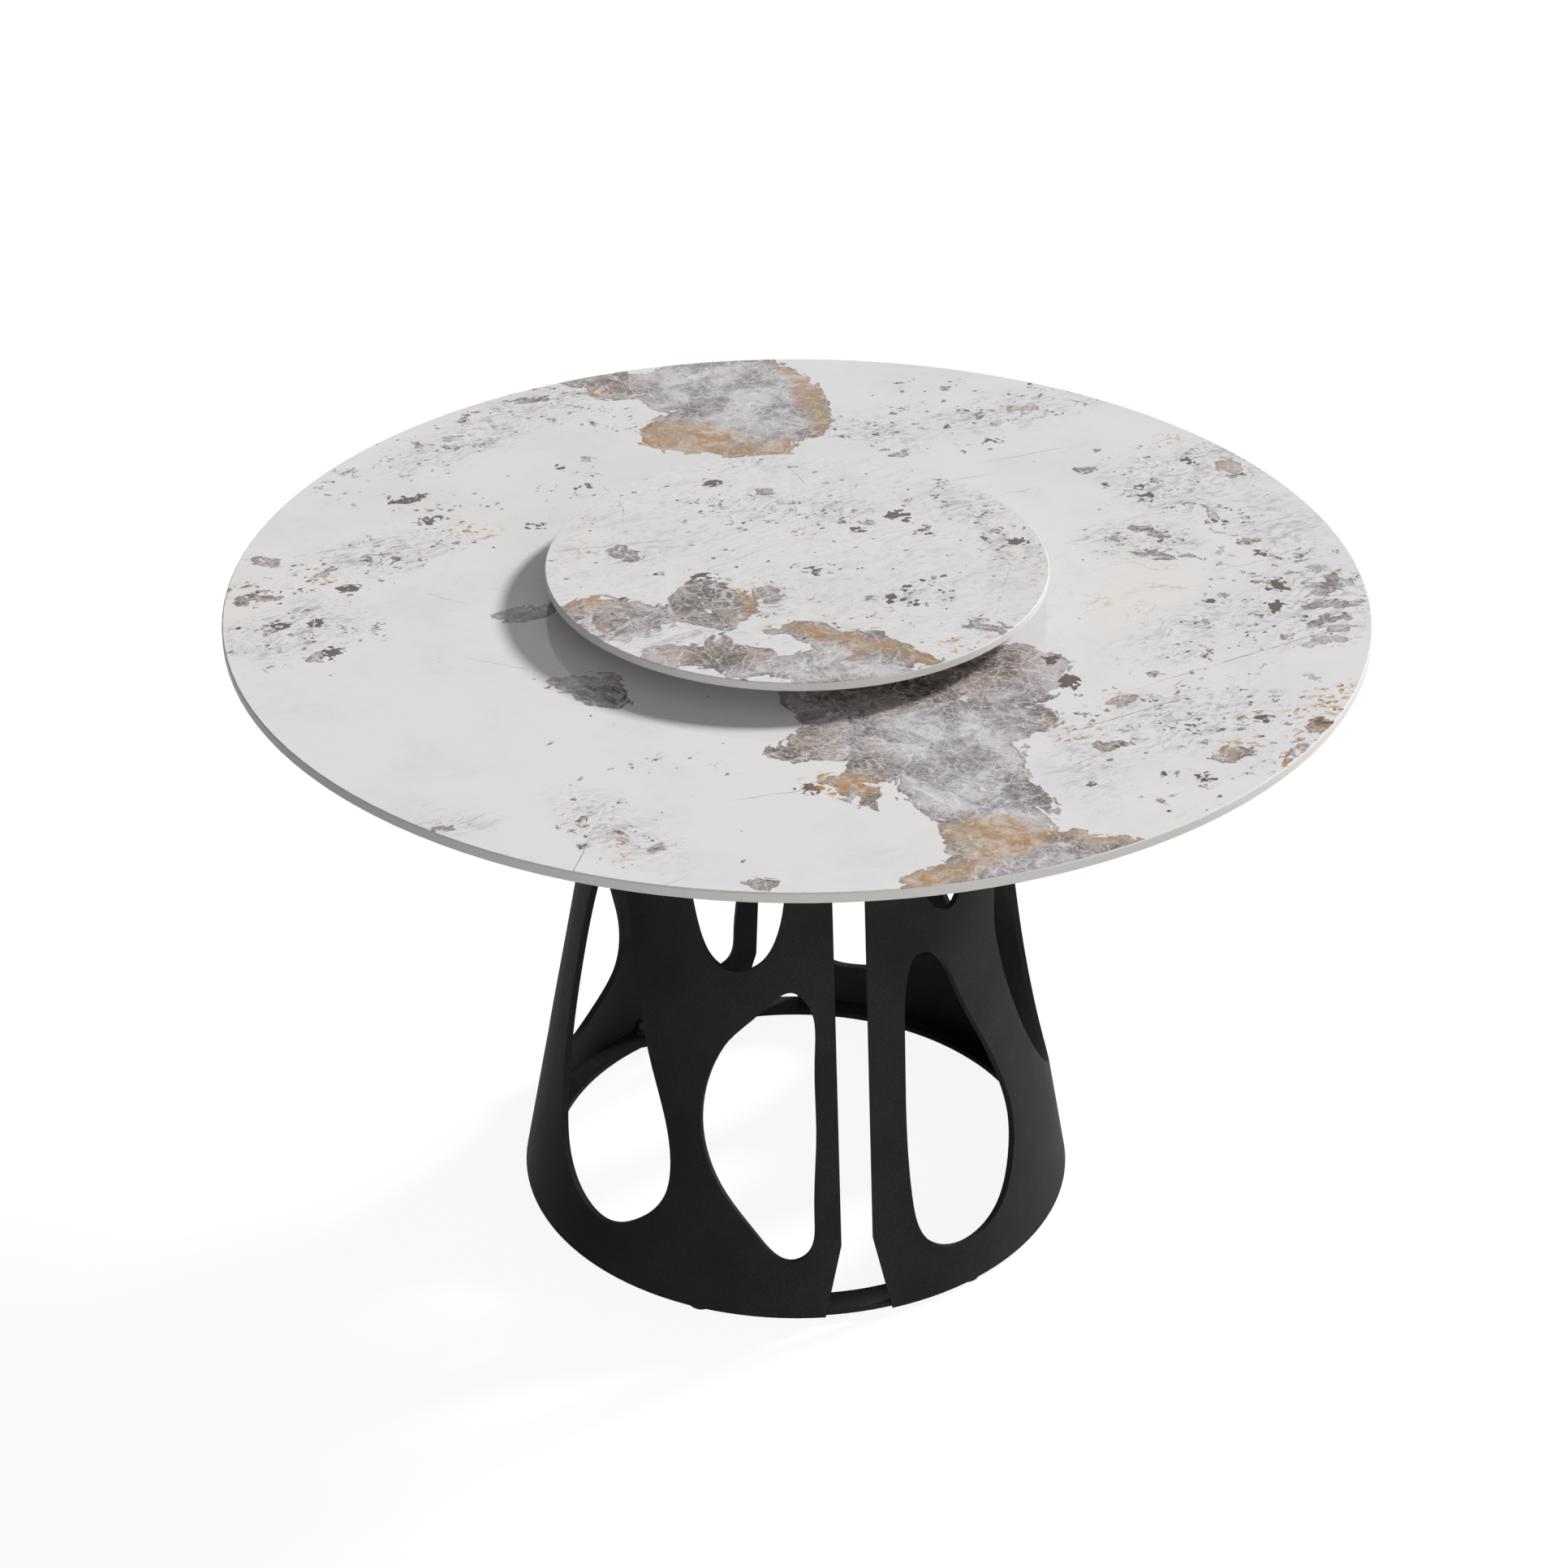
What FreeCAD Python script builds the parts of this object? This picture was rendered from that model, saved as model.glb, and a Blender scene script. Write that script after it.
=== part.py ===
import FreeCAD, Part
import math
import os

Vector = FreeCAD.Vector

# Round dining table with a turntable. Millimetres, +Z up, floor at z = 0, table axis on Z.
# The base is a cone of two rolled plates. They meet at two slits, which face -Y and +Y,
# and the middle of each plate is on the X axis.

# Stone top and the board glued under it
table_height = 759.0
top_diameter = 1250.0
top_thickness = 12.0
top_chamfer = 1.5
board_diameter = 700.0
board_thickness = 15.0
board_bevel = 9.0

# Steel base
base_bottom_diameter = 645.0
base_top_diameter = 382.0
plate_thickness = 7.5
slit_width = 37.0
corner_cut_width = 20.0
corner_cut_height = 87.0
ring_width = 31.5
ring_setback = 4.0
ring_thickness = 7.0
weld_gap = 0.2
top_plate_thickness = 6.0
top_plate_rim = 10.0
top_plate_hole_diameter = 120.0

# Bolts that hold the board on the base
bolt_count = 6
bolt_circle_diameter = 280.0
bolt_diameter = 8.0
bolt_hole_gap = 0.5
bolt_grip_in_insert = 11.0
bolt_head_diameter = 14.0
bolt_head_height = 4.5
bolt_head_chamfer = 1.2
bolt_socket_width = 5.0
bolt_socket_depth = 2.5
washer_diameter = 17.0
washer_thickness = 1.6
insert_diameter = 12.0
insert_length = 13.0
press_gap = 0.05
thread_gap = 0.1

# Levelling feet
foot_count = 6
foot_height = 6.0
foot_pad_diameter = 30.0
foot_pad_chamfer = 1.2
foot_gap = 0.3
foot_wall_gap = 1.4
stud_diameter = 8.0
stud_seat_depth = 3.5
stud_above_nut = 11.0
stud_slot_width = 1.4
stud_slot_depth = 2.0
nut_width = 13.0
nut_height = 6.5

# Turntable disc and its ball bearing
turntable_diameter = 550.0
turntable_thickness = 10.0
turntable_chamfer = 1.2
turntable_gap = 25.0
pad_count = 8
pad_thickness = 3.0
base_pad_diameter = 16.0
disc_pad_diameter = 24.0
race_diameter = 300.0
race_width = 3.2
ball_count = 20
ball_diameter = 7.0
ball_gap = 0.2
cage_thickness = 1.6
cage_height = 10.0
bearing_ring_width = 20.0
lower_ring_height = 12.0
upper_ring_lift = 1.0
upper_flange_thickness = 4.0
upper_flange_inset = 4.0
bearing_edge_chamfer = 1.0

# Reach of cutting tools past the face that they leave
overrun = 5.0

# Windows in the base plates. Each outline is a smooth closed curve through points of
# (share of a quarter turn from the plate's middle, share of the plate's height).
side_window_shares = [
    (0.107, 0.455), (0.119, 0.342), (0.156, 0.231), (0.200, 0.158), (0.300, 0.098), (0.402, 0.084),
    (0.497, 0.116), (0.569, 0.180), (0.570, 0.252), (0.480, 0.396), (0.390, 0.541), (0.302, 0.655),
    (0.215, 0.705), (0.137, 0.620),
]
leaf_window_shares = [
    (0.902, 0.537), (0.935, 0.510), (0.943, 0.430), (0.945, 0.308), (0.938, 0.172), (0.920, 0.107),
    (0.885, 0.096), (0.800, 0.138), (0.709, 0.210), (0.651, 0.300), (0.655, 0.378), (0.706, 0.451),
    (0.799, 0.509),
]
upper_left_window_shares = [
    (0.549, 0.690), (0.593, 0.627), (0.647, 0.582), (0.722, 0.569), (0.800, 0.592), (0.844, 0.647),
    (0.862, 0.740), (0.842, 0.840), (0.740, 0.888), (0.606, 0.862), (0.536, 0.780),
]
front_window_shares = [
    (0.716, 0.573), (0.668, 0.553), (0.618, 0.488), (0.545, 0.389), (0.482, 0.287), (0.466, 0.225),
    (0.490, 0.160), (0.554, 0.099), (0.642, 0.072), (0.729, 0.074), (0.793, 0.106), (0.819, 0.180),
    (0.818, 0.335), (0.806, 0.450), (0.785, 0.540), (0.757, 0.571),
]
upper_right_window_shares = [
    (0.700, 0.670), (0.660, 0.634), (0.614, 0.625), (0.560, 0.642), (0.512, 0.700), (0.490, 0.790),
    (0.540, 0.865), (0.630, 0.885), (0.704, 0.850), (0.725, 0.760),
]
slanted_window_shares = [
    (0.421, 0.568), (0.410, 0.494), (0.376, 0.414), (0.313, 0.320), (0.230, 0.246), (0.132, 0.187),
    (0.055, 0.153), (0.000, 0.165), (-0.038, 0.215), (-0.051, 0.265), (-0.046, 0.370),
    (-0.012, 0.475), (0.060, 0.600), (0.160, 0.690), (0.280, 0.706), (0.380, 0.650),
]
slim_window_shares = [
    (0.455, 0.352), (0.440, 0.430), (0.396, 0.534), (0.335, 0.641), (0.273, 0.668), (0.223, 0.601),
    (0.212, 0.507), (0.223, 0.401), (0.255, 0.307), (0.315, 0.254), (0.390, 0.257), (0.442, 0.300),
]
rear_window_shares = [
    (0.755, 0.573), (0.707, 0.553), (0.657, 0.488), (0.584, 0.389), (0.528, 0.290), (0.520, 0.230),
    (0.553, 0.165), (0.625, 0.112), (0.714, 0.096), (0.792, 0.098), (0.842, 0.128), (0.860, 0.200),
    (0.856, 0.335), (0.844, 0.450), (0.824, 0.540), (0.796, 0.571),
]
# Plane inside the base where a window's cutting tool starts
window_tool_start_share = 0.5

# Levels and radii that follow from the sizes above
ring_level = foot_height
ring_top_level = ring_level + ring_thickness
stone_level = table_height - top_thickness
board_level = stone_level - board_thickness
plate_level = board_level - top_plate_thickness
panel_height = plate_level - ring_level
base_bottom_radius = base_bottom_diameter / 2
base_top_radius = base_top_diameter / 2
taper = (base_bottom_radius - base_top_radius) / panel_height
wall_width = plate_thickness * math.sqrt(1 + taper ** 2)
ring_outer_radius = base_bottom_radius - ring_setback
ring_inner_radius = ring_outer_radius - ring_width
stud_top_level = ring_top_level + nut_height + stud_above_nut
bearing_level = table_height + pad_thickness
disc_level = table_height + turntable_gap
upper_ring_top = disc_level - pad_thickness
ball_level = bearing_level + lower_ring_height / 2
race_radius = race_diameter / 2
upper_wall_radius = race_radius - race_width / 2
lower_wall_radius = race_radius + race_width / 2
upper_ring_inner_radius = upper_wall_radius - bearing_ring_width
lower_ring_outer_radius = lower_wall_radius + bearing_ring_width
upper_flange_radius = lower_ring_outer_radius - upper_flange_inset

axis = Vector(0, 0, 1)
full_turn = 360.0
quarter_turn = math.pi / 2
hexagon_sides = 6


def outer_radius(level):
    """Radius of the base cone's outer face at a level."""
    return base_bottom_radius - taper * (level - ring_level)


# The upper ends of the feet's studs stand just clear of the panels' inner faces
foot_circle_radius = outer_radius(stud_top_level) - wall_width - foot_wall_gap - stud_diameter / 2


def on_circle(radius, angle, level):
    """Point at an angle, in radians from +X, on a level circle about the table's axis."""
    return Vector(radius * math.cos(angle), radius * math.sin(angle), level)


def turned(section):
    """Solid of revolution about the table's axis, from (radius, level) corners."""
    corners = [Vector(radius, 0, level) for radius, level in section]
    outline = Part.makePolygon(corners + corners[:1])
    return Part.Face(outline).revolve(Vector(), axis, full_turn)


def hexagon(width, height, centre):
    """Upright hexagonal prism of a width across flats, with a flat towards +X."""
    half_side = math.pi / hexagon_sides
    corner_radius = width / 2 / math.cos(half_side)
    corners = [centre + on_circle(corner_radius, (2 * side + 1) * half_side, 0)
               for side in range(hexagon_sides)]
    return Part.Face(Part.makePolygon(corners + corners[:1])).extrude(axis * height)


def around(count, radius, level):
    """Points evenly spaced on a level circle, the first on +X."""
    return [on_circle(radius, number * math.tau / count, level) for number in range(count)]


def disc(diameter, level, thickness, chamfer):
    """Round slab with both rims chamfered."""
    radius = diameter / 2
    top = level + thickness
    return turned([(0, level), (radius - chamfer, level), (radius, level + chamfer),
                   (radius, top - chamfer), (radius - chamfer, top), (0, top)])


def window_tool(shares, side_angle, turn):
    """Cutting tool for one window: every line through its wall is square to the rolled plate."""
    angles = [side_angle + turn * share * quarter_turn for share, _ in shares]
    levels = [ring_level + share * panel_height for _, share in shares]
    middle = (min(angles) + max(angles)) / 2
    across = on_circle(1, middle + quarter_turn, 0)
    rings = []
    lengths = [0]
    for reach in (base_bottom_radius + overrun, base_top_radius * window_tool_start_share):
        points = []
        for angle, level in zip(angles, levels):
            radius = reach / math.cos(angle - middle)
            rise = (radius - outer_radius(level)) * taper
            sideways = across * reach * math.tan(angle - middle)
            points.append(on_circle(reach, middle, level + rise) + sideways)
        if not rings:
            for start, end in zip(points, points[1:] + points[:1]):
                lengths.append(lengths[-1] + start.distanceToPoint(end))
        curve = Part.BSplineCurve()
        curve.interpolate(Points=points, PeriodicFlag=True, Parameters=lengths)
        rings.append(Part.Wire(curve.toShape()))
    return Part.makeLoft(rings, True, True)


def panel(edge, hand, side_angle, windows):
    """Half of the base cone: rolled plate with its windows and a rebate for the bottom ring."""
    inner = wall_width
    plate = turned([(base_bottom_radius - inner, ring_level), (base_bottom_radius, ring_level),
                    (base_top_radius, plate_level), (base_top_radius - inner, plate_level)])
    depth = base_bottom_diameter + 2 * overrun
    start = -depth / 2
    low = ring_level - overrun
    high = plate_level + overrun
    far = edge - hand * depth
    other_half = [(edge, low), (far, low), (far, high), (edge, high)]
    past = edge - hand * overrun
    shoulder = edge + hand * corner_cut_width
    corner_cut = [(edge, ring_level + corner_cut_height), (shoulder, ring_level), (shoulder, low),
                  (past, low), (past, ring_level + corner_cut_height)]
    rebate_radius = ring_outer_radius + weld_gap
    tools = [Part.makeCylinder(rebate_radius, ring_thickness + overrun, axis * low)]
    for outline in (other_half, corner_cut):
        corners = [Vector(x, start, z) for x, z in outline]
        face = Part.Face(Part.makePolygon(corners + corners[:1]))
        tools.append(face.extrude(Vector(0, depth, 0)))
    for shares, turn in windows:
        tools.append(window_tool(shares, side_angle, turn))
    for tool in tools:
        plate = plate.cut(tool)
    return plate


def bottom_ring():
    """Flat ring in the rebate of the panels, with a hole for each foot's stud."""
    ring = turned([(ring_inner_radius, ring_level), (ring_outer_radius, ring_level),
                   (ring_outer_radius, ring_top_level), (ring_inner_radius, ring_top_level)])
    hole_radius = stud_diameter / 2 + bolt_hole_gap
    for place in around(foot_count, foot_circle_radius, ring_level - overrun):
        ring = ring.cut(Part.makeCylinder(hole_radius, ring_thickness + 2 * overrun, place))
    return ring


def foot_nut(place):
    """Hexagonal weld nut on the ring."""
    nut = hexagon(nut_width, nut_height, place)
    bore_radius = stud_diameter / 2 + thread_gap
    return nut.cut(Part.makeCylinder(bore_radius, nut_height + 2 * overrun, place - axis * overrun))


def foot_pad(place):
    """Round glide with a chamfered lower rim and a blind seat for its stud."""
    thickness = foot_height - foot_gap
    radius = foot_pad_diameter / 2
    pad = Part.makeCylinder(radius, thickness, place)
    rim = [edge for edge in pad.Edges if edge.Closed and edge.BoundBox.ZMax < place.z + foot_gap]
    pad = pad.makeChamfer(foot_pad_chamfer, rim)
    seat_level = thickness - stud_seat_depth
    seat_radius = stud_diameter / 2 + press_gap
    return pad.cut(Part.makeCylinder(seat_radius, thickness, place + axis * seat_level))


def foot_stud(place):
    """Threaded stud of a foot, with a screwdriver slot in its upper end."""
    bottom = place + axis * (foot_height - foot_gap - stud_seat_depth)
    stud = Part.makeCylinder(stud_diameter / 2, stud_top_level - bottom.z, bottom)
    slot_level = stud_top_level - stud_slot_depth
    corner = Vector(place.x - stud_diameter, place.y - stud_slot_width / 2, slot_level)
    return stud.cut(Part.makeBox(2 * stud_diameter, stud_slot_width, stud_slot_depth + overrun, corner))


def top_plate():
    """Round plate on the top of the panels, with a middle hole and the bolt holes."""
    rim_radius = base_top_radius + top_plate_rim
    hole_radius = top_plate_hole_diameter / 2
    plate = turned([(hole_radius, plate_level), (rim_radius, plate_level),
                    (rim_radius, board_level), (hole_radius, board_level)])
    bolt_hole_radius = bolt_diameter / 2 + bolt_hole_gap
    for place in around(bolt_count, bolt_circle_diameter / 2, plate_level - overrun):
        plate = plate.cut(Part.makeCylinder(bolt_hole_radius, top_plate_thickness + 2 * overrun, place))
    return plate


def backing_board():
    """Round board under the stone, bevelled below, with a blind hole for each insert."""
    radius = board_diameter / 2
    board = turned([(0, board_level), (radius - board_bevel, board_level),
                    (radius, board_level + board_bevel), (radius, stone_level), (0, stone_level)])
    hole_radius = insert_diameter / 2 + press_gap
    for place in around(bolt_count, bolt_circle_diameter / 2, board_level - overrun):
        board = board.cut(Part.makeCylinder(hole_radius, insert_length + overrun, place))
    return board


def threaded_insert(place):
    """Tube in the board that a bolt screws into."""
    insert = Part.makeCylinder(insert_diameter / 2, insert_length, place)
    bore_radius = bolt_diameter / 2 + thread_gap
    return insert.cut(Part.makeCylinder(bore_radius, insert_length + 2 * overrun, place - axis * overrun))


def top_washer(place):
    """Flat washer under the plate."""
    bottom = place - axis * washer_thickness
    washer = Part.makeCylinder(washer_diameter / 2, washer_thickness, bottom)
    hole_radius = bolt_diameter / 2 + bolt_hole_gap
    return washer.cut(Part.makeCylinder(hole_radius, washer_thickness + 2 * overrun, bottom - axis * overrun))


def top_bolt(place):
    """Bolt with a round head below the washer and a hexagonal socket in the head."""
    seat = place - axis * washer_thickness
    shank_length = washer_thickness + top_plate_thickness + bolt_grip_in_insert
    shank = Part.makeCylinder(bolt_diameter / 2, shank_length, seat)
    head_bottom = seat - axis * bolt_head_height
    head = Part.makeCylinder(bolt_head_diameter / 2, bolt_head_height, head_bottom)
    rim = [edge for edge in head.Edges if edge.Closed and edge.BoundBox.ZMax < seat.z - bolt_head_chamfer]
    head = head.makeChamfer(bolt_head_chamfer, rim)
    socket_start = head_bottom - axis * overrun
    socket = hexagon(bolt_socket_width, bolt_socket_depth + overrun, socket_start)
    return head.fuse(shank).removeSplitter().cut(socket)


def race_groove():
    """Round channel that the balls run in, half of it in each ring."""
    return Part.makeTorus(race_radius, ball_diameter / 2 + ball_gap, axis * ball_level, axis)


def bearing_lower_ring():
    """Outer ring of the bearing, which stands on the stone top."""
    top = bearing_level + lower_ring_height
    chamfer = bearing_edge_chamfer
    ring = turned([(lower_wall_radius, bearing_level), (lower_ring_outer_radius, bearing_level),
                   (lower_ring_outer_radius, top - chamfer), (lower_ring_outer_radius - chamfer, top),
                   (lower_wall_radius, top)])
    return ring.cut(race_groove())


def bearing_upper_ring():
    """Inner ring of the bearing, with a flange over the lower ring that carries the disc."""
    flange_level = upper_ring_top - upper_flange_thickness
    bottom = bearing_level + upper_ring_lift
    chamfer = bearing_edge_chamfer
    ring = turned([(upper_ring_inner_radius, bottom), (upper_wall_radius, bottom),
                   (upper_wall_radius, flange_level), (upper_flange_radius, flange_level),
                   (upper_flange_radius, upper_ring_top - chamfer),
                   (upper_flange_radius - chamfer, upper_ring_top),
                   (upper_ring_inner_radius, upper_ring_top)])
    return ring.cut(race_groove())


def ball_cage():
    """Thin band between the rings with a pocket for each ball."""
    inner = race_radius - cage_thickness / 2
    outer = race_radius + cage_thickness / 2
    bottom = ball_level - cage_height / 2
    top = ball_level + cage_height / 2
    band = turned([(inner, bottom), (outer, bottom), (outer, top), (inner, top)])
    pocket_radius = ball_diameter / 2 + ball_gap
    pocket_length = cage_thickness + 2 * overrun
    for centre in around(ball_count, race_radius, ball_level):
        outward = Vector(centre.x, centre.y, 0).normalize()
        start = centre - outward * (pocket_length / 2)
        band = band.cut(Part.makeCylinder(pocket_radius, pocket_length, start, outward))
    return band


def group(solids):
    """Separate equal pieces kept together in one node."""
    return Part.makeCompound(solids)


def all_pieces():
    """Every node's name and shape."""
    bolt_places = around(bolt_count, bolt_circle_diameter / 2, plate_level)
    insert_places = around(bolt_count, bolt_circle_diameter / 2, board_level)
    foot_places = around(foot_count, foot_circle_radius, 0)
    left_windows = [(shares, turn) for turn in (1, -1) for shares in
                    (side_window_shares, leaf_window_shares, upper_left_window_shares)]
    right_windows = [(front_window_shares, -1), (upper_right_window_shares, -1),
                     (slanted_window_shares, -1), (slim_window_shares, 1),
                     (upper_right_window_shares, 1), (rear_window_shares, 1)]
    base_pad_radius = (lower_wall_radius + lower_ring_outer_radius) / 2
    disc_pad_radius = (upper_ring_inner_radius + upper_flange_radius) / 2
    pieces = {
        "stone_top": disc(top_diameter, stone_level, top_thickness, top_chamfer),
        "backing_board": backing_board(),
        "threaded_inserts": group([threaded_insert(place) for place in insert_places]),
        "top_plate": top_plate(),
        "top_bolts": group([top_bolt(place) for place in bolt_places]),
        "top_washers": group([top_washer(place) for place in bolt_places]),
        "left_panel": panel(0, -1, math.pi, left_windows),
        "right_panel": panel(slit_width, 1, 0, right_windows),
        "bottom_ring": bottom_ring(),
        "foot_nuts": group([foot_nut(place + axis * ring_top_level) for place in foot_places]),
        "turntable_disc": disc(turntable_diameter, disc_level, turntable_thickness, turntable_chamfer),
        "disc_pads": group([Part.makeCylinder(disc_pad_diameter / 2, pad_thickness, place)
                            for place in around(pad_count, disc_pad_radius, upper_ring_top)]),
        "bearing_upper_ring": bearing_upper_ring(),
        "bearing_lower_ring": bearing_lower_ring(),
        "ball_cage": ball_cage(),
        "bearing_balls": group([Part.makeSphere(ball_diameter / 2, centre)
                                for centre in around(ball_count, race_radius, ball_level)]),
        "base_pads": group([Part.makeCylinder(base_pad_diameter / 2, pad_thickness, place)
                            for place in around(pad_count, base_pad_radius, table_height)]),
    }
    for number, place in enumerate(foot_places, start=1):
        pieces[f"foot_pad_{number}"] = foot_pad(place)
        pieces[f"foot_stud_{number}"] = foot_stud(place)
    return pieces


os.makedirs("parts", exist_ok=True)
for name, shape in all_pieces().items():
    shape.exportStep(f"parts/{name}.step")
    print(name, len(shape.Solids), shape.isValid(), round(shape.Volume))
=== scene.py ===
# %% [markdown]
# A round dining table: a slab of polished sintered stone, a smaller slab of the same stone that turns
# on a hidden ball bearing, and a black steel base rolled from two plates with cut-out windows.
# The CAD model already has the right shapes and sizes, so it is loaded as a fixed frame, and this
# lesson gives it its finishes, its light and its camera.

# %% Load the frame
import math
import bmesh
import bpy
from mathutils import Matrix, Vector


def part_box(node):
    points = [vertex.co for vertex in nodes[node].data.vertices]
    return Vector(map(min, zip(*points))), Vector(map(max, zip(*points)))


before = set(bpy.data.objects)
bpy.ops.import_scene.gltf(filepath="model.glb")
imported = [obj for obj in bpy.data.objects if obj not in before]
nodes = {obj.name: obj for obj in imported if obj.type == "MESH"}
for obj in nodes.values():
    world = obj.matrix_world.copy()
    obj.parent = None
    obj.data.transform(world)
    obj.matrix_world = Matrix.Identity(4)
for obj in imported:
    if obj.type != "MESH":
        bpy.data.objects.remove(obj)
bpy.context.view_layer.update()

# %% [markdown]
# Every finish below is a node material. A few small tools are enough for all of them. One turns the
# colour that an eye reads off a screen (an sRGB hex value) into the linear light that a renderer
# works with. Two turn a real size in millimetres into a texture's scale. One adds a node with its
# settings and links, so that a material reads like a list.

# %% Tools for materials
MM = 0.001
NOISE = "ShaderNodeTexNoise"
CELLS = "ShaderNodeTexVoronoi"
WAVE = "ShaderNodeTexWave"
RANGE = "ShaderNodeMapRange"
MIX = "ShaderNodeMix"
MATH = "ShaderNodeMath"
VECTOR = "ShaderNodeVectorMath"
MAPPING = "ShaderNodeMapping"
BUMP = "ShaderNodeBump"
PRINCIPLED = "ShaderNodeBsdfPrincipled"
COLOUR = {"out": 2, "data_type": "RGBA"}
SMOOTH = {"interpolation_type": "SMOOTHSTEP"}
DRAWN_OUT = {"vector_type": "TEXTURE"}


def linear(hex_colour):
    """Linear RGBA of an sRGB colour such as "d9d7d6"."""
    parts = [int(hex_colour[at:at + 2], 16) / 255 for at in (0, 2, 4)]
    return [part / 12.92 if part <= 0.04045 else ((part + 0.055) / 1.055) ** 2.4 for part in parts] + [1]


def per(size_mm):
    """Texture scale at which one feature is about so many millimetres wide."""
    return 1 / (size_mm * MM)


def bands_per(size_mm):
    """Scale of a wave texture whose bands repeat every so many millimetres."""
    return math.tau / 20 / (size_mm * MM)


def add(tree, kind, inputs, out=0, **settings):
    """Adds one node, sets and links its inputs, and gives back one of its outputs."""
    node = tree.nodes.new(kind)
    for name, value in settings.items():
        setattr(node, name, value)
    for name, value in inputs.items():
        if isinstance(value, bpy.types.NodeSocket):
            tree.links.new(value, node.inputs[name])
        else:
            node.inputs[name].default_value = value
    return node.outputs[out]


def new_material(name):
    """An empty material, its node tree, and the place of each point on the object."""
    material = bpy.data.materials.new(name)
    material.use_nodes = True
    material.node_tree.nodes.clear()
    return material, material.node_tree, add(material.node_tree, "ShaderNodeTexCoord", {}, "Object")


def finish(tree, shader):
    """Ends a material in its surface output."""
    output = tree.nodes.new("ShaderNodeOutputMaterial")
    tree.links.new(shader, output.inputs["Surface"])


def dress(material, *names):
    """Gives a material to whole CAD nodes."""
    for name in names:
        for slot in nodes[name].material_slots:
            slot.material = material
    print(material.name, "on", ", ".join(names))


print("a mid grey of 808080 is", round(linear("808080")[0], 3), "of white in linear light")
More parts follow.
